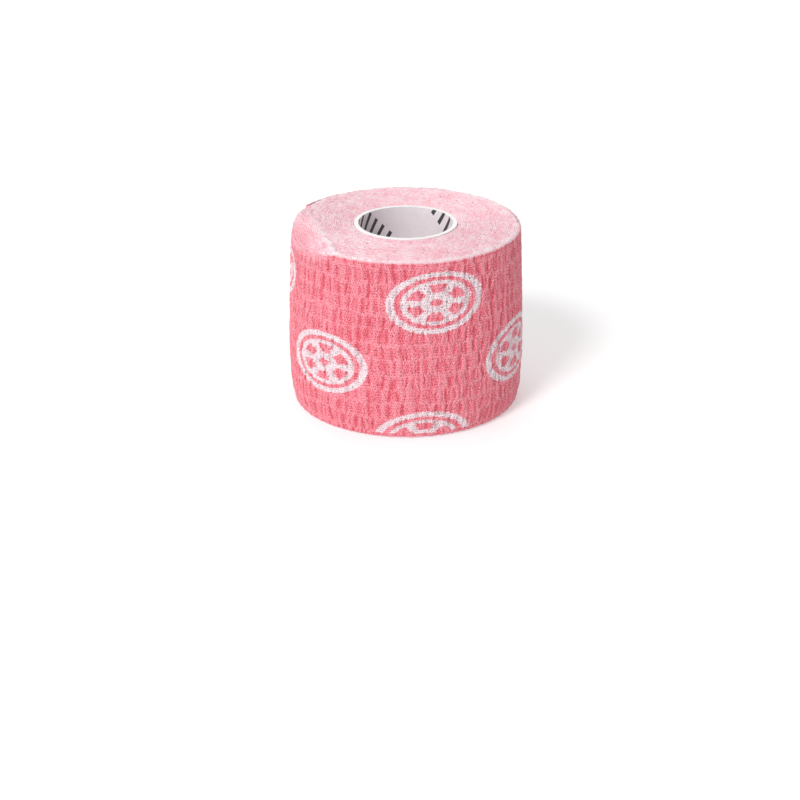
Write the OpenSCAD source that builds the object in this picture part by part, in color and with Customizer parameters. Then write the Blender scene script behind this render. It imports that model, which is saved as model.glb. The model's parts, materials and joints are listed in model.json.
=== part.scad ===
// A roll of cohesive elastic hand-wrap tape on a paper core.
// It stands on one edge of the tape: +Z is the roll's axis, and the origin is on that
// axis at the bottom. The tape is one flat spiral. Its last stretch is the loose end, which
// peels off the roll, and it lies on the +Y side.

/* [Tape] */
// Width of the tape, which is the height of the roll
tape_width = 50; // [25:5:75]
// Full turns of tape between the core and the loose end
turns = 31; // [3:1:40]
// Thickness of one layer of the laminated tape
tape_thick = 0.5; // [0.4:0.02:0.7]
// Air left between one turn and the next
turn_gap = 0.06; // [0.04:0.01:0.15]
// Thickness of each of the two nonwoven webs
web_thick = 0.17; // [0.1:0.01:0.18]
// Elastic yarns across the width of the tape
yarn_count = 12; // [4:1:20]
// Width of one elastic yarn
yarn_width = 0.5; // [0.2:0.1:1]

/* [Core] */
// Diameter of the hole through the core
bore_d = 25.4; // [19:0.1:50.8]
// Thickness of the printed liner paper round the hole
liner_thick = 0.2; // [0.1:0.05:0.4]
// Thickness of the board that makes the core stiff
board_thick = 0.8; // [0.5:0.1:2]
// Thickness of the white cover paper round the board
cover_thick = 0.2; // [0.1:0.05:0.4]

/* [Loose end] */
// Angle round the roll at which the loose end leaves it
tail_start = 50; // [10:5:70]
// Links that the bending loose end is divided into
tail_links = 5; // [3:1:5]
// Arc that one link covers
link_angle = 20; // [12:1:20]
// Gap between one link and the next
link_gap = 0.15; // [0.1:0.05:0.4]
// Clearance between the loose end and the turn under it
tail_clearance = 0.2; // [0.1:0.05:0.5]

/* [Hidden] */
$fn = 180;
turn_pitch = tape_thick + turn_gap;
core_r = bore_d / 2 + liner_thick + board_thick + cover_thick;
// Half turns of the spiral up to where the outermost turn begins, and up to the loose end
outer_half = 2 * (turns - 1);
tail_half = 2 * turns;
// How deep in the laminate each layer starts, measured from the side that faces the core
yarn_thick = tape_thick - 2 * web_thick;
yarn_depth = web_thick;
face_depth = web_thick + yarn_thick;
// The yarns are spread evenly, with half a space left at each edge
yarn_pitch = tape_width / yarn_count;
// Half of the gap at a link's end, as an angle at the loose end's own radius
tail_r = core_r + turns * turn_pitch + tail_clearance;
gap_angle = link_gap / 2 / tail_r * 180 / PI;

web_color = [0.98, 0.53, 0.58];
inner_color = [1.0, 0.78, 0.81];
yarn_color = [0.96, 0.93, 0.9];
paper_color = [0.97, 0.97, 0.97];
board_color = [0.8, 0.78, 0.76];

LAYERS = ["back_web", "elastic_yarns", "face_web"];

// ---- Shapes that repeat ----

// One paper ply of the core: a plain tube
module ply(inner_r, thick) {
    difference() {
        cylinder(r = inner_r + thick, h = tape_width);
        translate([0, 0, -1]) cylinder(r = inner_r, h = tape_width + 2);
    }
}

// An arc of the spiral, cut from half turn number "half" as counted from the core.
// Even halves are centred on the axis and odd halves half a pitch off it, so each half
// starts exactly where the one before it ends. depth and thick pick a layer of the tape.
module tape_arc(half, depth, thick, low = 0, high = tape_width, from = 0, sweep = 180) {
    odd = half % 2;
    translate([odd * turn_pitch / 2, 0, low])
        rotate_extrude(angle = sweep, start = 180 * odd + from)
            translate([core_r + half * turn_pitch / 2 + depth, 0])
                square([thick, high - low]);
}

// The outermost turn and the short arc from its end to where the loose end leaves the roll
module outer_turn_layer(depth, thick, low = 0, high = tape_width) {
    for (half = [outer_half : tail_half - 1]) tape_arc(half, depth, thick, low, high);
    tape_arc(tail_half, depth, thick, low, high, 0, tail_start - gap_angle);
}

// One link of the loose end
module tail_layer(link, depth, thick, low = 0, high = tape_width) {
    tape_arc(
        tail_half, tail_clearance + depth, thick, low, high,
        tail_start + (link - 1) * link_angle + gap_angle, link_angle - 2 * gap_angle
    );
}

// Lower edge of each yarn, from the bottom of the tape up
function yarn_low(number) = (number + 0.5) * yarn_pitch - yarn_width / 2;

// ---- Core ----

module core_liner_ply() {
    color(paper_color) ply(bore_d / 2, liner_thick);
}

module core_board_ply() {
    color(board_color) ply(bore_d / 2 + liner_thick, board_thick);
}

module core_cover_ply() {
    color(paper_color) ply(core_r - cover_thick, cover_thick);
}

// ---- Tape ----

module wound_tape() {
    color(inner_color)
        for (half = [0 : outer_half - 1]) tape_arc(half, 0, tape_thick);
}

module outer_turn_back_web() {
    color(web_color) outer_turn_layer(0, web_thick);
}

module outer_turn_elastic_yarns() {
    color(yarn_color)
        for (number = [0 : yarn_count - 1])
            outer_turn_layer(yarn_depth, yarn_thick, yarn_low(number), yarn_low(number) + yarn_width);
}

module outer_turn_face_web() {
    color(web_color) outer_turn_layer(face_depth, web_thick);
}

// ---- Loose end ----

module tail_back_web(link) {
    color(web_color) tail_layer(link, 0, web_thick);
}

module tail_elastic_yarns(link) {
    color(yarn_color)
        for (number = [0 : yarn_count - 1])
            tail_layer(link, yarn_depth, yarn_thick, yarn_low(number), yarn_low(number) + yarn_width);
}

module tail_face_web(link) {
    color(web_color) tail_layer(link, face_depth, web_thick);
}

core_liner_ply();
core_board_ply();
core_cover_ply();
wound_tape();
outer_turn_back_web();
outer_turn_elastic_yarns();
outer_turn_face_web();
for (link = [1 : tail_links]) {
    tail_back_web(link);
    tail_elastic_yarns(link);
    tail_face_web(link);
}
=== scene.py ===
"""Looks for a roll of cohesive hand wrap tape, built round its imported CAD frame.

Metres, +Z up. The roll's axis is the Z axis, its lower edge stands on z = 0, and its front is -Y.
The tape is one spiral. A place on it is given by how far the winding has turned since the core, in
radians, and by the height z. Lengths that shaders read are in millimetres.
"""
import json
import math

import bpy
import numpy as np
from mathutils import Euler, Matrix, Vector


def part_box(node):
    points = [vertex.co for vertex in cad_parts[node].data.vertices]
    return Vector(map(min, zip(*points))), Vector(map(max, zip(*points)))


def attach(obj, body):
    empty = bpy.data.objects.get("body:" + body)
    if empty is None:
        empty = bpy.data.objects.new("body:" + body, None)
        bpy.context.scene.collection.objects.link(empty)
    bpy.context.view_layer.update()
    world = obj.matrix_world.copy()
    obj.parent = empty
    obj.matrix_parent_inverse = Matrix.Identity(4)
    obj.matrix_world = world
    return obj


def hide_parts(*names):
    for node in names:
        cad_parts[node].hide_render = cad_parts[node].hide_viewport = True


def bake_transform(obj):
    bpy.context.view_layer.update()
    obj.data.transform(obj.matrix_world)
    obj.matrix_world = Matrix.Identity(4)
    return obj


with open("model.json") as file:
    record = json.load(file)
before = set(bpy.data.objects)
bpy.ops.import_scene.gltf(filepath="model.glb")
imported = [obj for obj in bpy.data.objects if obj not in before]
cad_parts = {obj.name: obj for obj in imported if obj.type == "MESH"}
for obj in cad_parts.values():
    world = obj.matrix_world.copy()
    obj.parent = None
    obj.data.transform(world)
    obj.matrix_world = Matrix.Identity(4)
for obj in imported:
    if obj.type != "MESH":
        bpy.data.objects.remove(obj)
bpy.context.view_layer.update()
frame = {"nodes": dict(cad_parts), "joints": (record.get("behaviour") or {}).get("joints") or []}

# ---- Sizes from the frame -------------------------------------------------------------------

MM = 0.001
TURN = 2 * math.pi

# The thicknesses, the number of turns and the number of yarns are the CAD model's own
LINER_THICK = 0.2 * MM
BORE_R = -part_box("core_liner_ply")[0].x - LINER_THICK
CORE_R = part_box("core_cover_ply")[1].x
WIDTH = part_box("wound_tape")[1].z
THICK = 0.5 * MM
TURNS = 31
PITCH = (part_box("outer_turn_face_web")[1].x - CORE_R - THICK) / TURNS
YARNS = 12
ROW = WIDTH / YARNS

HINGES = [j for j in frame["joints"] if j["type"] == "hinge"]
HINGE_ANGLES = [math.atan2(j["pos_m"][1], j["pos_m"][0]) for j in HINGES]
LINK_ANGLE = HINGE_ANGLES[1] - HINGE_ANGLES[0]

# Winding angles where the tape's pieces meet
OUTER_START = (TURNS - 1) * TURN
LAST_TURN = TURNS * TURN
TAIL_ROOT = LAST_TURN + HINGE_ANGLES[0]
TAIL_END = LAST_TURN + HINGE_ANGLES[-1] + LINK_ANGLE
COVERED_END = TAIL_END - TURN
# The outermost turn ends half a link short of the first hinge, where the loose end's first piece starts
SHOWN_END = TAIL_ROOT - LINK_ANGLE / 2

# ---- Camera ---------------------------------------------------------------------------------

CAMERA_AT = (-0.0015, -0.499, 0.2237)
CAMERA_DOWN = math.radians(24.4)
CAMERA_LENS = 87.9

# ---- The printed marks ----------------------------------------------------------------------

# Sizes of the marks in mm. They stand in rows, and every other row is shifted by half of the repeat
MARK_REPEAT = 59.2
MARK_ROW_STEP = 19.5
MARK_HALF_WIDTH = 13.3
MARK_HALF_HEIGHT = 8.5
# Height of the middle of one row
MARK_HEIGHT = 38.6
# How far the columns of marks lean along the tape per unit of height, and the height at which one of
# them is at MARK_ANGLE round the roll
MARK_LEAN = 0.086
MARK_LEAN_FROM = 19.5
MARK_ANGLE = math.radians(281.8)
# The badge's inner and outer radii, as shares of a mark's half size: its ring, its plate round a hub
# hole, and the windows in the plate
BADGE_RING = (0.84, 1.0)
BADGE_PLATE = (0.12, 0.72)
BADGE_WINDOWS = (0.33, 0.60)
BADGE_SPOKES = 6
# Half the width of the print's soft edge, as a share of a mark's half size
MARK_SOFT = 0.02

# ---- The print inside the core --------------------------------------------------------------

# Whole numbers of bands and of bars per turn, so that the bands close round the bore
PRINT_BANDS = 3
PRINT_BARS = 18
# Where a band starts and ends in its spacing, and where a bar does
PRINT_BAND = (0.285, 0.625)
PRINT_BAR = (0.295, 0.655)
# How far a bar slants across its band, counted in bars
PRINT_SLANT = 1.2


# ---- Smooth random values -------------------------------------------------------------------

# Cells each way after which the random values repeat
NOISE_CELLS = 256


def value_noise(x, y, cell, seed):
    """Smooth random values from -1 to 1 over a plane, with features of about cell across.
    Each use has a seed of its own."""
    table = np.random.default_rng(seed).uniform(-1, 1, (NOISE_CELLS, NOISE_CELLS))
    u, v = np.asarray(x) / cell, np.asarray(y) / cell
    iu, iv = np.floor(u).astype(int), np.floor(v).astype(int)
    fu, fv = u - iu, v - iv
    fu, fv = fu * fu * (3 - 2 * fu), fv * fv * (3 - 2 * fv)
    left, right = iu % NOISE_CELLS, (iu + 1) % NOISE_CELLS
    low, high = iv % NOISE_CELLS, (iv + 1) % NOISE_CELLS
    at_low = table[left, low] * (1 - fu) + table[right, low] * fu
    at_high = table[left, high] * (1 - fu) + table[right, high] * fu
    return at_low * (1 - fv) + at_high * fv


def smoothstep(value, low, high):
    """0 below low, 1 above high, and a smooth rise between them."""
    t = np.clip((np.asarray(value) - low) / (high - low), 0, 1)
    return t * t * (3 - 2 * t)


# ---- The spiral -----------------------------------------------------------------------------

def inner_radius(turned):
    """Radius of the side of the tape that faces the core."""
    return np.maximum(CORE_R + PITCH * (np.asarray(turned) / TURN - 0.25), CORE_R)


def tape_length(turned):
    """Length of tape from the core up to a winding angle."""
    turned = np.asarray(turned, float)
    return CORE_R * turned + PITCH * turned ** 2 / (2 * TURN)


def winding_angles(start, end, step):
    """Winding angles from start to end, spaced by about step of tape length."""
    angles = np.linspace(start, end, 4000)
    lengths = tape_length(angles)
    count = max(2, int(round((lengths[-1] - lengths[0]) / step)) + 1)
    return np.interp(np.linspace(lengths[0], lengths[-1], count), lengths, angles)


# ---- The roll's large shape -----------------------------------------------------------------

# The side swells a little below the middle and draws in at both edges
BARREL_Z = np.array([0.0, 1.0, 5.0, 15.0, 27.0, 42.0, 50.0]) * MM
BARREL_OUT = np.array([-1.15, -0.5, 0.2, 0.6, 0.3, -0.25, -0.6]) * MM
# The crease on the top: beyond this line the outer turns' edges are pressed down
CREASE_FROM = np.array([-24.9, 3.0]) * MM
CREASE_TO = np.array([-17.6, -26.4]) * MM
CREASE_DROP = 1.9 * MM
CREASE_REACH = 6.0 * MM
# A low ridge runs along the crease
CREASE_RIDGE = 0.12 * MM
# The crease fades out between these places on the way to the back of the roll
CREASE_FADE = (-5 * MM, 10 * MM)
# The side leans in there too, over this much of its height
LEAN_IN = 0.6 * MM
LEAN_HEIGHT = 6.0 * MM
# The outermost turns' edges are rounded off by this much, fading over this depth into the roll
RIM_DROP = 0.35 * MM
RIM_DEPTH = 0.5 * MM


def barrel(z):
    """How far the outer turn stands out from a plain cylinder at a height."""
    return np.interp(z, BARREL_Z, BARREL_OUT)


def crease_reach(x, y):
    """(how far beyond the crease a place on the top is, how strong the crease is there, from 0 to 1)."""
    along = CREASE_TO - CREASE_FROM
    normal = np.array([along[1], -along[0]]) / np.hypot(*along)
    beyond = (x - CREASE_FROM[0]) * normal[0] + (y - CREASE_FROM[1]) * normal[1]
    wander = value_noise(x, y, 4 * MM, 3) * 0.4 * MM
    return beyond + wander, 1 - smoothstep(y, *CREASE_FADE)


def pressed_share(x, y):
    """How strongly the rim is pressed at a place on the top, from 0 to 1."""
    beyond, strength = crease_reach(x, y)
    return smoothstep(beyond, 0, CREASE_REACH) * strength


def top_drop(x, y):
    """How far the top edges of the tape lie below the full width at a place on the top."""
    beyond, strength = crease_reach(x, y)
    ridge = CREASE_RIDGE * np.exp(-(beyond / (1.0 * MM)) ** 2)
    return CREASE_DROP * pressed_share(x, y) - ridge * strength


def side_out(x, y, z):
    """How far the side stands out from a plain cylinder, at a place on the rim and a height."""
    return barrel(z) - LEAN_IN * pressed_share(x, y) * smoothstep(z, WIDTH - LEAN_HEIGHT, WIDTH)


def rim_drop(radius):
    """How far the outermost turns' edges are rounded off."""
    return RIM_DROP * np.exp(-(inner_radius(LAST_TURN) - radius) / RIM_DEPTH)


# ---- The crinkled face ----------------------------------------------------------------------

# The elastic yarns gather the web into rows of upright puckers, large ones and fine ones between them.
# Each kind has a spacing, a depth, and a width as a share of the spacing.
PUCKER_STEP = 2.7 * MM
PUCKER_DEPTH = 0.52 * MM
PUCKER_WIDTH = 0.15
FINE_STEP = 1.3 * MM
FINE_DEPTH = 0.40 * MM
FINE_WIDTH = 0.21
# Long folds run across a yarn, from one row into the next
LONG_STEP = 4.4 * MM
LONG_DEPTH = 0.34 * MM
LONG_WIDTH = 0.10
# Each yarn holds the web down by this much between the rows
PILLOW = 0.09 * MM
# Where puckers meet, they are never deeper than this together, so that the turn below stays covered
DEPTH_LIMIT = 0.62 * MM
# The relief is flatter at the cut edges, over this width and by this share
CALM_WIDTH = 2.5 * MM
CALM_SHARE = 0.45
# Crests stand this far out of the tape's even face
CREST = 0.14 * MM
# Length of tape that has puckers, from the start of the outermost turn on
PUCKERED_LENGTH = 0.4
# Limits between which one pucker differs from the next: its spacing, depth and width as shares of the
# usual ones, how far it leans as a share of the step, and where up the row it ends
SPACING_RANGE = (0.65, 1.35)
DEPTH_RANGE = (0.35, 1.0)
WIDTH_RANGE = (0.75, 1.25)
LEAN_RANGE = (-0.25, 0.25)
LOW_END_RANGE = (-0.68, -0.3)
HIGH_END_RANGE = (0.3, 0.68)
# Half the height, as a share of the row, over which a pucker fades out at its ends
END_FADE = 0.17


def pucker_row(s, rise, seed, step, width):
    """Depth from 0 to 1 of the puckers of one row, at tape lengths s.
    rise goes from -0.5 to 0.5 up the row. Puckers are step apart, and width is their share of it."""
    dice = np.random.default_rng(seed)
    count = int(PUCKERED_LENGTH / step)
    places = (np.cumsum(dice.uniform(*SPACING_RANGE, count)) - dice.uniform(0, 3)) * step
    depth = dice.uniform(*DEPTH_RANGE, count)
    half_width = dice.uniform(*WIDTH_RANGE, count) * width * step
    lean = dice.uniform(*LEAN_RANGE, count) * step
    low_end = dice.uniform(*LOW_END_RANGE, count)
    high_end = dice.uniform(*HIGH_END_RANGE, count)
    nearest = np.rint(np.interp(s, places, np.arange(count))).astype(int)
    deepest = np.zeros(s.shape)
    for neighbour in (-1, 0, 1):
        k = np.clip(nearest + neighbour, 0, count - 1)
        narrow = 1.15 - 2.2 * rise ** 2
        away = (s - places[k] - lean[k] * rise) / (half_width[k] * narrow)
        span = smoothstep(rise, low_end[k] - END_FADE, low_end[k] + END_FADE)
        span = span * (1 - smoothstep(rise, high_end[k] - END_FADE, high_end[k] + END_FADE))
        deepest = np.maximum(deepest, depth[k] * span * np.exp(-away ** 2))
    return deepest


def pucker_rows(s, rows_up, seed, step, width):
    """Depth from 0 to 1 of puckers in rows. rows_up is the height, counted in rows."""
    row = np.rint(rows_up).astype(int)
    depth = np.zeros(s.shape)
    for number in range(row.min(), row.max() + 1):
        here = row == number
        depth[here] = pucker_row(s[here], rows_up[here] - number, seed + number, step, width)
    return depth


def crinkle(s, z):
    """(how far the face stands out, how deep in a pucker each point is from 0 to 1, or less on a yarn)."""
    s, z = np.broadcast_arrays(s - tape_length(OUTER_START), z)
    along = s + value_noise(s, z, 7 * MM, 11) * 0.6 * MM + value_noise(s, z, 1.6 * MM, 12) * 0.28 * MM
    up = z + value_noise(s, z, 5 * MM, 13) * 0.6 * MM
    rows_up = up / ROW
    groove = pucker_rows(along, rows_up, 100, PUCKER_STEP, PUCKER_WIDTH)
    fine = pucker_rows(along, rows_up, 200, FINE_STEP, FINE_WIDTH)
    fold = pucker_rows(along, (rows_up + 0.5) / 2, 300, LONG_STEP, LONG_WIDTH)
    rise = rows_up - np.rint(rows_up)
    groove = groove * (0.85 + 0.3 * value_noise(s, z, 6 * MM, 14))
    pillow = (2 * np.abs(rise)) ** 3
    grain = value_noise(s, z, 0.5 * MM, 15) * 0.035 * MM
    grain = grain + value_noise(s, z, 1.3 * MM, 16) * 0.06 * MM
    depth = PUCKER_DEPTH * groove + FINE_DEPTH * fine + LONG_DEPTH * fold + PILLOW * pillow
    out = CREST - DEPTH_LIMIT * np.tanh(depth / DEPTH_LIMIT) + grain
    from_edge = np.minimum(z, WIDTH - z)
    out = out * (1 - CALM_SHARE * (1 - smoothstep(from_edge, 0, CALM_WIDTH)))
    on_yarn = smoothstep(np.abs(rise), 0.42, 0.49) * (0.5 + 0.7 * value_noise(s, z, 2 * MM, 17))
    in_pucker = np.clip(groove + 0.55 * fine + 0.5 * fold, 0, 1)
    return out, in_pucker - 0.15 * on_yarn


# ---- Meshes ---------------------------------------------------------------------------------

def polar(angle, radius, z):
    """Points from an angle round the roll, a radius and a height."""
    return np.stack(np.broadcast_arrays(radius * np.cos(angle), radius * np.sin(angle), z), axis=-1)


def mesh_object(name, points, faces, smooth):
    """A mesh object from arrays of points and faces, where smooth says which faces are shaded smooth."""
    mesh = bpy.data.meshes.new(name)
    mesh.from_pydata(points.reshape(-1, 3).tolist(), [], faces)
    mesh.polygons.foreach_set("use_smooth", np.asarray(smooth, bool))
    mesh.update()
    piece = bpy.data.objects.new(name, mesh)
    bpy.context.scene.collection.objects.link(piece)
    return piece


def point_values(piece, name, values):
    """Stores three values for each point of a piece, for its material to read."""
    layer = piece.data.attributes.new(name, "FLOAT_VECTOR", "POINT")
    layer.data.foreach_set("vector", np.asarray(values, np.float32).reshape(-1))


def ring_normals(points):
    """Smooth normals of a sheet whose every column of points is a closed ring."""
    along = np.gradient(points, axis=0)
    around = np.roll(points, -1, axis=1) - np.roll(points, 1, axis=1)
    normal = np.cross(along, around)
    return normal / np.maximum(np.linalg.norm(normal, axis=-1, keepdims=True), 1e-12)


def strip_object(name, rings, normals=None, back_from=None):
    """A closed strip through rings of points, with flat ends. normals shade the sides, or are left to
    Blender. Sides past point back_from of each ring take the piece's second material."""
    columns, around = rings.shape[:2]
    i, j = np.meshgrid(np.arange(columns - 1), np.arange(around), indexing="ij")
    after = (j + 1) % around
    this_ring, next_ring = i * around, (i + 1) * around
    quads = np.stack([this_ring + j, next_ring + j, next_ring + after, this_ring + after], axis=-1)
    quads = quads.reshape(-1, 4)
    first_end = list(range(around))
    last_end = list(range(columns * around - 1, (columns - 1) * around - 1, -1))
    faces = quads.tolist() + [first_end, last_end]
    piece = mesh_object(name, rings, faces, np.arange(len(faces)) < len(quads))
    if back_from is not None:
        is_back = np.concatenate([np.arange(len(quads)) % around >= back_from, [False, False]])
        piece.data.polygons.foreach_set("material_index", is_back.astype(np.int32))
    if normals is not None:
        corners = np.zeros((len(piece.data.loops), 3))
        corners[:quads.size] = normals.reshape(-1, 3)[quads.reshape(-1)]
        piece.data.normals_split_custom_set(corners.tolist())
    return piece


# Rounding of a cut edge of the tape: how far in from each face, and how far below the edge's top
EDGE_INS = np.array([0.03, 0.12]) * MM
EDGE_DROPS = np.array([0.1, 0.02]) * MM
EDGE_POINTS = len(EDGE_INS)
# How far from its edges the tape's face ends and the rounding starts
EDGE_MARGIN = 0.22 * MM
# How far the cut edges wander up and down, and how far the lower one stays off the floor
EDGE_WOBBLE = 0.08 * MM
FOOT_CLEAR = 0.05 * MM
# Where the rim is pressed, the face is matted and pale between these depths below its edge
MATTED_FROM = 3.0 * MM
MATTED_TO = 0.6 * MM
# The back of the tape has this share of the face's relief
BACK_RELIEF = 0.7


def tape_rings(turned, rows, back_rows, lift):
    """(rings of points round the tape's cross-section at winding angles, values for their material).
    A ring starts at the foot of the face and goes up it, over the top edge, down the back and under.
    The values are the tape length and the height, in mm, and the depth in a pucker, below 0 if matted."""
    turned = turned[:, None]
    s = tape_length(turned)
    radius = inner_radius(turned)
    rim_x, rim_y = radius * np.cos(turned), radius * np.sin(turned)
    rounded = rim_drop(inner_radius(LAST_TURN))
    pressed = pressed_share(rim_x, rim_y)
    wobble = value_noise(s, 0 * s, 1.1 * MM, 21) * EDGE_WOBBLE
    wobble = wobble + value_noise(s, 0 * s, 6 * MM, 22) * EDGE_WOBBLE
    top = WIDTH - top_drop(rim_x, rim_y) - rounded + wobble - EDGE_WOBBLE
    foot = rounded + 0.5 * wobble + FOOT_CLEAR

    def side(count, depth, relief):
        z = foot + EDGE_MARGIN + np.linspace(0, 1, count)[None, :] * (top - foot - 2 * EDGE_MARGIN)
        out, groove = crinkle(s, z)
        matted = pressed * smoothstep(z, top - MATTED_FROM, top - MATTED_TO)
        out_from_roll = lift(turned) + side_out(rim_x, rim_y, z)
        return z, radius + out_from_roll + depth + relief * out, groove - matted

    def edge(level, inward, face_r):
        corners = list(zip(EDGE_INS, EDGE_DROPS))
        outer = [polar(turned, face_r - into, level - inward * drop) for into, drop in corners]
        inner = [polar(turned, face_r - THICK + into, level - inward * drop) for into, drop in corners]
        return np.concatenate(outer + inner[::-1], axis=1)

    face_z, face_r, face_groove = side(rows, THICK, 1)
    back_z, back_r, back_groove = side(back_rows, 0, BACK_RELIEF)
    over = edge(top, 1, face_r[:, -1:])
    under = edge(foot, -1, face_r[:, :1])[:, ::-1]
    back = polar(turned, back_r, back_z)[:, ::-1]
    face = polar(turned, face_r, face_z)
    outer_under, inner_under = under[:, EDGE_POINTS:], under[:, :EDGE_POINTS]
    rings = np.concatenate([outer_under, face, over, back, inner_under], axis=1)
    top_groove = np.repeat(-pressed, 2 * EDGE_POINTS, axis=1)
    foot_groove = np.zeros((len(turned), EDGE_POINTS))
    groove = [foot_groove, face_groove, top_groove, back_groove[:, ::-1], foot_groove]
    s_mm = np.broadcast_to(s / MM, rings.shape[:2])
    z = rings[..., 2]
    near_top = smoothstep(z, top - LEAN_HEIGHT, top)
    near_foot = 1 - smoothstep(z, foot, foot + LEAN_HEIGHT)
    up = z + (WIDTH - top) * near_top - foot * near_foot
    return rings, np.stack([s_mm, up / MM, np.concatenate(groove, axis=1)], axis=-1)


def crinkled_tape(name, start, end, fineness, lift):
    """A piece of the crinkled tape between two winding angles. Its normals are worked out on a slightly
    longer piece, so that pieces that meet end to end shade as one surface."""
    step, rows, back_rows = fineness
    turned = winding_angles(start, end, step)
    space = turned[1] - turned[0]
    spare = 2
    ahead = start - space * np.arange(spare, 0, -1)
    behind = end + space * np.arange(1, spare + 1)
    rings, values = tape_rings(np.concatenate([ahead, turned, behind]), rows, back_rows, lift)
    keep = slice(spare, -spare)
    back_from = rows + 2 * EDGE_POINTS
    piece = strip_object(name, rings[keep], ring_normals(rings)[keep], back_from)
    point_values(piece, "tape", values[keep])
    return piece


# ---- Materials ------------------------------------------------------------------------------

class Value:
    """A number on its way through a material. Arithmetic on it adds nodes."""

    def __init__(self, nodes, socket):
        self.nodes = nodes
        self.socket = socket

    def math(self, operation, *others, clamp=False):
        """A Math node's result, from this value and the others."""
        node = self.nodes.node("ShaderNodeMath", operation=operation, use_clamp=clamp)
        for given, value in zip(node.inputs, (self, *others)):
            self.nodes.put(given, value)
        return Value(self.nodes, node.outputs[0])

    def __add__(self, other):
        return self.math("ADD", other)

    def __sub__(self, other):
        return self.math("SUBTRACT", other)

    def __mul__(self, other):
        return self.math("MULTIPLY", other)

    def __truediv__(self, other):
        return self.math("DIVIDE", other)

    def __mod__(self, other):
        return self.math("FLOORED_MODULO", other)

    def __abs__(self):
        return self.math("ABSOLUTE")

    def rounded(self):
        return self.math("ROUND")

    def root(self):
        return self.math("SQRT")

    def fraction(self):
        return self.math("FRACT")

    def at_most_one(self):
        return self.math("MULTIPLY", 1.0, clamp=True)

    def rise(self, low, high, out_low=0.0, out_high=1.0):
        """out_low below low, out_high above high, and a smooth change between them."""
        node = self.nodes.node("ShaderNodeMapRange", interpolation_type="SMOOTHSTEP")
        for given, value in zip(node.inputs, (self, low, high, out_low, out_high)):
            self.nodes.put(given, value)
        return Value(self.nodes, node.outputs[0])

    def fall(self, low, high):
        """1 below low, 0 above high, and a smooth change between them."""
        return self.rise(low, high, 1.0, 0.0)

    def between(self, low, high, soft):
        """1 from low to high and 0 outside, with a smooth change over soft to each side of both."""
        return self.rise(low - soft, low + soft) * self.fall(high - soft, high + soft)


class NodeTree:
    """The nodes of a material or of the world, under construction."""

    def __init__(self, tree):
        self.tree = tree

    def node(self, kind, **settings):
        """A new node with its settings made."""
        made = self.tree.nodes.new(kind)
        for key, value in settings.items():
            setattr(made, key, value)
        return made

    def put(self, given, value):
        """Feeds an input with a Value, an output, a number or a colour."""
        if isinstance(value, Value):
            value = value.socket
        if isinstance(value, bpy.types.NodeSocket):
            self.tree.links.new(value, given)
        elif given.type == "RGBA":
            given.default_value = (*value, 1)
        else:
            given.default_value = value

    def parts(self, vector):
        """The three numbers of a vector."""
        node = self.node("ShaderNodeSeparateXYZ")
        self.put(node.inputs[0], vector)
        return [Value(self, output) for output in node.outputs]

    def join(self, x, y, z=0.0):
        """A vector of three numbers."""
        node = self.node("ShaderNodeCombineXYZ")
        for given, value in zip(node.inputs, (x, y, z)):
            self.put(given, value)
        return node.outputs[0]

    def point_values(self, name):
        """The three values that point_values stored on a piece."""
        return self.parts(self.node("ShaderNodeAttribute", attribute_name=name).outputs["Vector"])

    def place_mm(self):
        """The place in the frame, in mm."""
        x, y, z = self.parts(self.node("ShaderNodeTexCoord").outputs["Object"])
        return x / MM, y / MM, z / MM

    def noise(self, vector, size, detail=2.0, roughness=0.5):
        """Cloudy values round 0.5, with features of about size."""
        node = self.node("ShaderNodeTexNoise")
        self.put(node.inputs["Vector"], vector)
        self.put(node.inputs["Scale"], 1 / size)
        self.put(node.inputs["Detail"], detail)
        self.put(node.inputs["Roughness"], roughness)
        return Value(self, node.outputs["Fac"])

    def specks(self, vector, spacing, size, share):
        """1 in small round specks about spacing apart, where only a share of the places has one."""
        node = self.node("ShaderNodeTexVoronoi")
        self.put(node.inputs["Vector"], vector)
        self.put(node.inputs["Scale"], 1 / spacing)
        chosen = self.parts(node.outputs["Color"])[0].fall(share - 0.03, share + 0.03)
        away = Value(self, node.outputs["Distance"])
        return away.fall(0.4 * size / spacing, 0.6 * size / spacing) * chosen

    def mix(self, share, a, b):
        """Colour a where share is 0, and colour b where it is 1."""
        node = self.node("ShaderNodeMix", data_type="RGBA")
        self.put(node.inputs["Factor"], share)
        self.put(node.inputs[6], a)
        self.put(node.inputs[7], b)
        return node.outputs[2]


class Paint(NodeTree):
    """A procedural material under construction."""

    def __init__(self, name):
        self.material = bpy.data.materials.new(name)
        self.material.use_nodes = True
        super().__init__(self.material.node_tree)
        self.shader = self.tree.nodes["Principled BSDF"]

    def bump(self, height, distance):
        """Roughens the surface, where a height of 1 stands out by distance."""
        node = self.node("ShaderNodeBump")
        self.put(node.inputs["Height"], height)
        self.put(node.inputs["Strength"], 1.0)
        self.put(node.inputs["Distance"], distance)
        self.put(self.shader.inputs["Normal"], node.outputs[0])

    def finish(self, color, **settings):
        """The material, with its colour and the shader's other settings."""
        self.put(self.shader.inputs["Base Color"], color)
        for key, value in settings.items():
            self.put(self.shader.inputs[key.replace("_", " ")], value)
        return self.material


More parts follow.
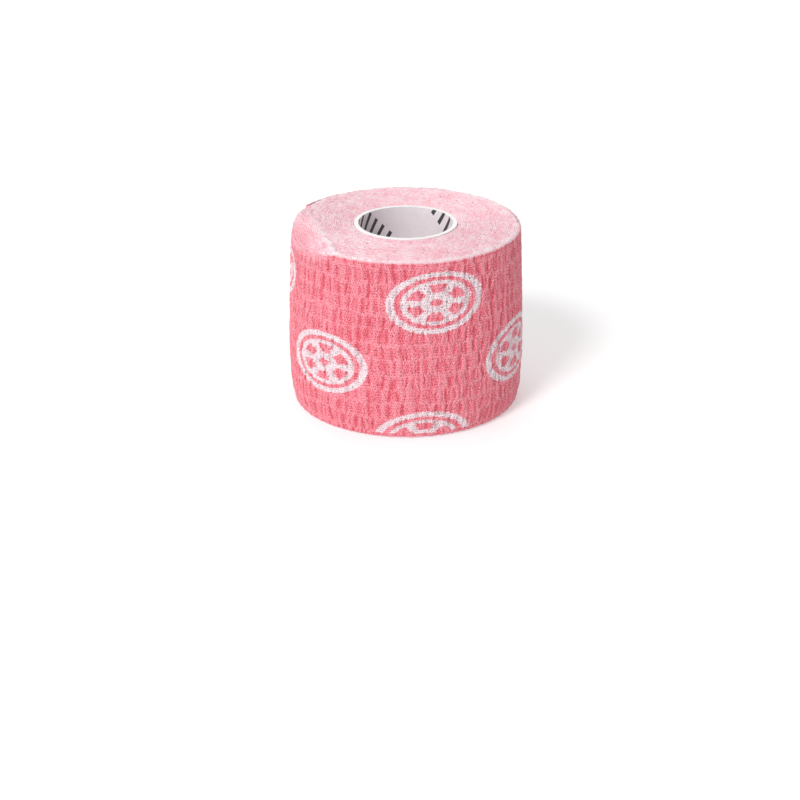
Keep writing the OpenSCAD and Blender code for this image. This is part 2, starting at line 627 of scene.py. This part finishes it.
# Linear colours of the tape
CREST_PINK = (0.92, 0.375, 0.44)
DEEP_PINK = (0.85, 0.135, 0.19)
# Painted shade: the dark red of the deepest grooves
GROOVE_SHADE_RED = (0.60, 0.05, 0.08)
EDGE_PINK = (0.95, 0.42, 0.49)
EDGE_PALE = (0.96, 0.61, 0.68)
EDGE_WHITE = (0.96, 0.82, 0.85)
# Pale pink of loose hairs, also put on the crests as a painted highlight
HAIR_AND_HIGHLIGHT_PINK = (0.94, 0.54, 0.61)
INK_WHITE = (0.92, 0.80, 0.84)
INK_SHADE = (0.60, 0.38, 0.43)
SPECK_RED = (0.44, 0.035, 0.06)
SPECK_GREY = (0.16, 0.12, 0.13)
PRINT_BLACK = (0.012, 0.011, 0.012)
# Spacing of the web's bond points along the tape and across it, in mm
BOND_ALONG = 0.62
BOND_ACROSS = 0.74
# Height of the tape in its materials, in mm
TOP = WIDTH / MM
# Cloth scatters light a little at grazing angles
CLOTH = {"Roughness": 0.95, "Sheen_Weight": 0.15}


def mark_ink(paint, s, z):
    """1 where the printed badge is: an oval ring round a weight plate with six windows and a hub hole."""
    rows_up = (z - MARK_HEIGHT) / MARK_ROW_STEP
    row = rows_up.rounded()
    start = tape_length(OUTER_START + MARK_ANGLE) / MM - MARK_LEAN * MARK_LEAN_FROM
    repeats = (s - start - z * MARK_LEAN) / MARK_REPEAT + row % 2.0 * 0.5
    x = (repeats - repeats.rounded()) * (MARK_REPEAT / MARK_HALF_WIDTH)
    y = (rows_up - row) * (MARK_ROW_STEP / MARK_HALF_HEIGHT)
    radius = (x * x + y * y).root()
    spokes_round = y.math("ARCTAN2", x) / (TURN / BADGE_SPOKES)
    from_window = abs(spokes_round.fraction() - 0.5)
    windows = radius.between(*BADGE_WINDOWS, MARK_SOFT) * from_window.fall(0.28, 0.34)
    plate = radius.between(*BADGE_PLATE, MARK_SOFT) - windows
    return radius.between(*BADGE_RING, MARK_SOFT).math("MAXIMUM", plate)


def tape_face_paint(name, printed):
    """The crinkled nonwoven web with its bond points and fibres, and on one side the printed marks.
    Colour follows depth: pale on the crests, a painted highlight where hairs catch the light, and red in
    the grooves, a painted shade."""
    paint = Paint(name)
    s, z, groove = paint.point_values("tape")
    flat = paint.join(s, z)
    fibre = paint.noise(paint.join(s * 1.5, z), 0.42, 2.0, 0.6)
    cloud = paint.noise(flat, 5.0)
    drift = (paint.noise(flat, 1.4) - 0.5) * 0.9
    across = ((z + drift) / BOND_ACROSS).fraction() - 0.5
    line = ((z + drift) / BOND_ACROSS).math("FLOOR") * 0.5
    beside = ((s + drift) / BOND_ALONG + line).fraction() - 0.5
    bond = (across * across + beside * beside).root().fall(0.16, 0.36) * fibre.rise(0.32, 0.55)
    # depth adds the puckers' depth to the fibres' own grain and the bond points; where it follows the
    # puckers, the colours below paint shade into the grooves and a highlight onto the crests
    depth = groove * 0.85 + (fibre - 0.5) * 3.0 + bond * 0.6 - 0.08
    color = paint.mix(depth.rise(-0.4, 0.6), CREST_PINK, DEEP_PINK)
    color = paint.mix(depth.fall(-0.7, -0.25) * 0.5, color, HAIR_AND_HIGHLIGHT_PINK)
    color = paint.mix(depth.rise(0.45, 1.0), color, GROOVE_SHADE_RED)
    color = paint.mix(cloud.rise(0.35, 0.7, 0.0, 0.15), color, DEEP_PINK)
    hair = paint.noise(paint.join(s * 2.4, z), 0.7, 3.0, 0.7)
    color = paint.mix(hair.rise(0.57, 0.72, 0.0, 0.5), color, HAIR_AND_HIGHLIGHT_PINK)
    speck = paint.specks(flat, 0.75, 0.42, 0.36)
    color = paint.mix(speck * 0.5, color, SPECK_RED)
    if printed:
        fray = (paint.noise(flat, 0.55) - 0.5) * 1.5
        worn = paint.noise(flat, 0.3, 3.0, 0.7).rise(0.56, 0.68)
        inside = z.between(1.3, TOP - 1.3, 0.3)
        ink = mark_ink(paint, s + fray, z + fray) * inside
        ink = (ink - worn * 0.45 - bond * 0.22).at_most_one()
        # The ink greys with depth in the grooves: painted shade
        color = paint.mix(ink, color, paint.mix(depth.rise(0.0, 1.1), INK_WHITE, INK_SHADE))
        fleck = paint.specks(paint.join(s * 1.3, z), 0.95, 0.5, 0.3)
        color = paint.mix(fleck * ink * 0.85, color, SPECK_GREY)
    rim = z.rise(TOP - 0.5, TOP - 0.05).math("MAXIMUM", z.fall(-0.05, 0.3))
    rim_color = paint.mix(fibre.rise(0.4, 0.6), EDGE_PALE, EDGE_WHITE)
    color = paint.mix(rim * groove.rise(-0.8, -0.1) * 0.8, color, rim_color)
    paint.bump(fibre - bond * 0.6 - speck * 0.5, 0.27 * MM)
    return paint.finish(color, **CLOTH)


def tape_edge_paint():
    """The cut edges of the wound turns: pale and matted, with streaks along them and dark flecks."""
    paint = Paint("tape_edges")
    s, turn, tone = paint.point_values("tape")
    x, y, z = paint.place_mm()
    place = paint.join(x, y, z * 0.3)
    streak = paint.noise(paint.join(s * 0.35, turn * 2.0), 0.7, 3.0, 0.6)
    grain = paint.noise(place, 0.45, 3.0, 0.65)
    # A lower tone is whiter; along the crease that whiteness is a painted highlight
    white = streak * 0.5 + grain * 0.9 - tone * 0.16
    color = paint.mix(white.rise(0.5, 0.72), EDGE_PINK, EDGE_PALE)
    color = paint.mix(white.rise(0.68, 0.86), color, EDGE_WHITE)
    speck = paint.specks(paint.join(s * 0.7, turn * PITCH / MM, z * 0.3), 0.8, 0.42, 0.36)
    color = paint.mix(speck * grain.rise(0.4, 0.6) * 0.75, color, SPECK_RED)
    paint.bump(grain + streak * 0.5, 0.2 * MM)
    return paint.finish(color, **CLOTH)


def paper_paint(name, light, dark, fibre_size, printed=False):
    """Pulp paper with faint fibres. The printed liner has plain bars that wind up the bore in bands."""
    paint = Paint(name)
    x, y, z = paint.place_mm()
    place = paint.join(x, y, z)
    fibre = paint.noise(place, fibre_size, 4.0, 0.6)
    cloud = paint.noise(place, 6.0)
    color = paint.mix((fibre * 0.6 + cloud * 0.4).rise(0.35, 0.7), light, dark)
    if printed:
        round_turns = y.math("ARCTAN2", x) / TURN
        up_turns = z / (TURN * BORE_R / MM)
        across = ((round_turns - up_turns) * PRINT_BANDS).fraction()
        bar = ((round_turns + up_turns) * PRINT_BARS + across * PRINT_SLANT).fraction()
        in_band = across.between(*PRINT_BAND, 0.005)
        in_bar = bar.between(*PRINT_BAR, 0.015)
        inner = (x * x + y * y).root().fall(BORE_R / MM + 0.05, BORE_R / MM + 0.1)
        color = paint.mix(in_band * in_bar * inner * 0.95, color, PRINT_BLACK)
    paint.bump(fibre, 0.03 * MM)
    return paint.finish(color, Roughness=0.6 if printed else 0.8)


# ---- Pieces ---------------------------------------------------------------------------------

def on_roll(turned):
    """How far the wound turns lie clear of the turn below: not at all."""
    return 0 * turned


# How far the loose end lies clear of the turn below, and how much more its cut end does
LOOSE_CLEAR = 0.3 * MM
END_CLEAR = 0.2 * MM


def loose(turned):
    """How far the loose end lies clear of the turn below."""
    clear = LOOSE_CLEAR * smoothstep(turned, TAIL_ROOT, TAIL_ROOT + LINK_ANGLE)
    return clear + END_CLEAR * smoothstep(turned, TAIL_END - 0.5 * LINK_ANGLE, TAIL_END)


def edge_tone(x, y):
    """How pink the top is at a place: -1 is whitish, as along the crease, where the whitish line is a
    painted highlight on the crease's ridge, and 1 is deep pink.
    """
    beyond, strength = crease_reach(x, y)
    # A whitish line along the crease: a painted highlight on its ridge
    ridge = np.exp(-(beyond / (0.7 * MM)) ** 2) * strength
    ridge = ridge * (0.7 + 0.5 * value_noise(x, y, 1.5 * MM, 37))
    outer_r = inner_radius(LAST_TURN)
    outermost = smoothstep(np.hypot(x, y), outer_r - 3 * MM, outer_r - 0.5 * MM)
    frayed = outermost * (0.5 + 0.5 * value_noise(x, y, 1.2 * MM, 38))
    frayed = frayed * (1 - strength * smoothstep(beyond, 0, MM))
    cloudy = value_noise(x, y, 3 * MM, 36) * 0.35
    return cloudy + 1.1 * pressed_share(x, y) - 1.2 * ridge - frayed


# Spacing of the wound turns' mesh along the tape
WOUND_STEP = 0.36 * MM
# One turn's cut edge, from its face inwards: how deep in each point is, and how far below the edge's top
WOUND_INS = np.array([0.0, 0.10 * MM, PITCH / 2, PITCH])
WOUND_DROPS = np.array([0.06, 0.0, 0.0, 0.06]) * MM
# How far the cut edges stand up and down over the top
WOUND_ROUGH = 0.12 * MM


def wound_turns():
    """The turns between the core and the outermost one, whose edges make the roll's top and bottom.
    Its material reads the tape length in mm, the number of turns from the core, and edge_tone."""
    turned = winding_angles(0, OUTER_START, WOUND_STEP)[:, None]
    s = tape_length(turned)
    radius = inner_radius(turned)
    flat = polar(turned, radius, 0 * radius)
    x, y = flat[..., 0], flat[..., 1]
    reach = (radius - CORE_R) / (inner_radius(LAST_TURN) - CORE_R)
    wave = (value_noise(x, y, 1.3 * MM, 31) * 0.11 + value_noise(x, y, 4 * MM, 32) * 0.12) * MM
    fuzz = value_noise(s, 0 * s, 0.7 * MM, 33) * 0.05 * MM
    level = value_noise(s, 0 * s, 5 * MM, 34) * 0.05 * MM
    level = level + value_noise(x, y, 0.9 * MM, 35) * WOUND_ROUGH
    top = WIDTH - top_drop(x, y) - rim_drop(radius) + level + fuzz - WOUND_ROUGH
    foot = rim_drop(radius) + 0.5 * np.abs(level)
    # The turns wander sideways, but not next to the core or where the outermost turn covers them
    free = np.minimum(1, reach * 6) * (1 - smoothstep(reach, 0.88, 0.96))

    def level_points(height, inward):
        at = radius + PITCH - WOUND_INS + (wave + fuzz) * free
        return polar(turned, at + side_out(x, y, height) * reach ** 2, height - inward * WOUND_DROPS)

    rings = np.concatenate([level_points(top, 1), level_points(foot, -1)[:, ::-1]], axis=1)
    piece = strip_object("wound_turns", rings)
    values = np.stack(np.broadcast_arrays(s / MM, turned / TURN, edge_tone(x, y)), axis=-1)
    point_values(piece, "tape", np.repeat(values, rings.shape[1], axis=1))
    return piece


def give_materials(piece, *materials):
    """Adds material slots to a piece and fills them."""
    for material in materials:
        piece.data.materials.append(material)


def tail_layers(link):
    """The CAD nodes of one link of the loose end."""
    return [f"tail_{link}_{layer}" for layer in ("face_web", "elastic_yarns", "back_web")]


# Fineness of the crinkled meshes: spacing along the tape, rows up the face, and rows down the back
COVERED_MESH = (0.35 * MM, 100, 12)
SHOWN_MESH = (0.26 * MM, 150, 30)
LOOSE_MESH = (0.26 * MM, 150, 80)
# Lengths before a hinge and beyond it, at the peel line and at the other hinges, from which the ends of a
# bend are worked out; the tape is not bent
PEEL_BEND = (1.5 * MM, 4 * MM)
LINK_BEND = (3.5 * MM, 5.2 * MM)


def build_wound_turns(edge):
    """The wound turns, which show only their cut edges."""
    inner = wound_turns()
    give_materials(inner, edge)
    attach(inner, "roll")
    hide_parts("wound_tape")
    length = float(tape_length(OUTER_START))


def build_outer_turn(webs):
    """The outermost turn, in two pieces: what the loose end covers, and what shows."""
    covered = crinkled_tape("outer_turn_covered", OUTER_START, COVERED_END, COVERED_MESH, on_roll)
    shown = crinkled_tape("outer_turn", COVERED_END, SHOWN_END, SHOWN_MESH, on_roll)
    for piece, start, end in ((covered, OUTER_START, COVERED_END), (shown, COVERED_END, SHOWN_END)):
        give_materials(piece, *webs)
        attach(piece, "roll")
        length = float(tape_length(end) - tape_length(start))
    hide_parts("outer_turn_face_web", "outer_turn_elastic_yarns", "outer_turn_back_web")


def build_loose_end(webs):
    """The loose end, as one piece across each hinge, from the middle of one link to that of the next."""
    for number, hinge in enumerate(HINGES, start=1):
        bend_at = LAST_TURN + HINGE_ANGLES[number - 1]
        start = bend_at - LINK_ANGLE / 2
        end = TAIL_END if number == len(HINGES) else bend_at + LINK_ANGLE / 2
        piece = crinkled_tape(f"loose_end_{number}", start, end, LOOSE_MESH, loose)
        give_materials(piece, *webs)
        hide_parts(*tail_layers(number))
        length = float(tape_length(end) - tape_length(start))
        tangent = Vector((-math.sin(bend_at), math.cos(bend_at), 0))
        before, beyond = PEEL_BEND if number == 1 else LINK_BEND
        pivot = Vector(hinge["pos_m"])
        bend_start, bend_end = pivot - before * tangent, pivot + beyond * tangent
        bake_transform(piece)


def build_tape():
    """All pieces of the tape, from the core outwards."""
    webs = [tape_face_paint("printed_tape", True), tape_face_paint("plain_tape", False)]
    edge = tape_edge_paint()
    build_wound_turns(edge)
    build_outer_turn(webs)
    build_loose_end(webs)


def build_core():
    """Papers for the CAD's own plies of the core."""
    # The liner's pinkish grey is painted shade and painted pink bounce light inside the bore
    liner = paper_paint("core_liner_paper", (0.93, 0.85, 0.88), (0.86, 0.79, 0.82), 0.6, printed=True)
    board = paper_paint("core_board", (1.0, 0.99, 0.99), (0.93, 0.92, 0.91), 0.4)
    cover = paper_paint("core_cover_paper", (1.0, 1.0, 1.0), (0.95, 0.95, 0.95), 0.6)
    plies = {"core_liner_ply": liner, "core_board_ply": board, "core_cover_ply": cover}
    for node, material in plies.items():
        frame["nodes"][node].material_slots[0].material = material


# ---- Stage ----------------------------------------------------------------------------------

def sun_light(name, direction, spread, strength):
    """A large, far lamp that shines along a direction. spread is its width in the sky, in degrees."""
    lamp = bpy.data.lights.new(name, "SUN")
    lamp.angle = math.radians(spread)
    lamp.energy = strength
    holder = bpy.data.objects.new(name, lamp)
    bpy.context.scene.collection.objects.link(holder)
    holder.rotation_mode = "QUATERNION"
    holder.rotation_quaternion = Vector(direction).to_track_quat("-Z", "Y")


# Half the width of the floor
FLOOR_HALF = 3.0


def build_stage():
    """A pale floor and two lamps: a main one from the front left, and a soft one from above."""
    corners = FLOOR_HALF * np.array([[-1, -1, 0], [1, -1, 0], [1, 1, 0], [-1, 1, 0]])
    floor = mesh_object("floor", corners, [[0, 1, 2, 3]], [False])
    pale, white = (0.8, 0.8, 0.8), (1, 1, 1)
    paint = Paint("floor")
    material = paint.finish(pale, Roughness=0.8, Emission_Color=white, Emission_Strength=0.3)
    give_materials(floor, material)

    sun_light("key", (0.36, 0.56, -0.58), spread=17, strength=1.8)
    sun_light("over", (-0.05, -0.15, -0.9), spread=40, strength=0.75)
    bpy.context.scene.view_settings.view_transform = "Standard"


def build_world():
    """Even studio light: white at the horizon, and greyer above it, most of all on the right."""
    world = bpy.data.worlds.new("studio")
    world.use_nodes = True
    bpy.context.scene.world = world
    sky = NodeTree(world.node_tree)
    x, y, up = sky.parts(sky.node("ShaderNodeTexCoord").outputs["Generated"])
    grey = x.rise(-0.3, 0.7, 0.54, 0.10)
    white = up.fall(0.15, 0.32)
    background = world.node_tree.nodes["Background"]
    sky.put(background.inputs["Color"], (1, 1, 1))
    sky.put(background.inputs["Strength"], grey.math("MAXIMUM", white))


def build_camera():
    """The camera, at the angle that the roll is looked at from."""
    camera = bpy.data.objects.new("camera", bpy.data.cameras.new("camera"))
    bpy.context.scene.collection.objects.link(camera)
    camera.location = CAMERA_AT
    camera.rotation_euler = Euler((math.pi / 2 - CAMERA_DOWN, 0, 0))
    camera.data.lens = CAMERA_LENS
    camera.data.sensor_width = 36
    camera.data.clip_start = 0.01
    bpy.context.scene.camera = camera


build_camera()
build_world()
build_stage()
build_core()
build_tape()
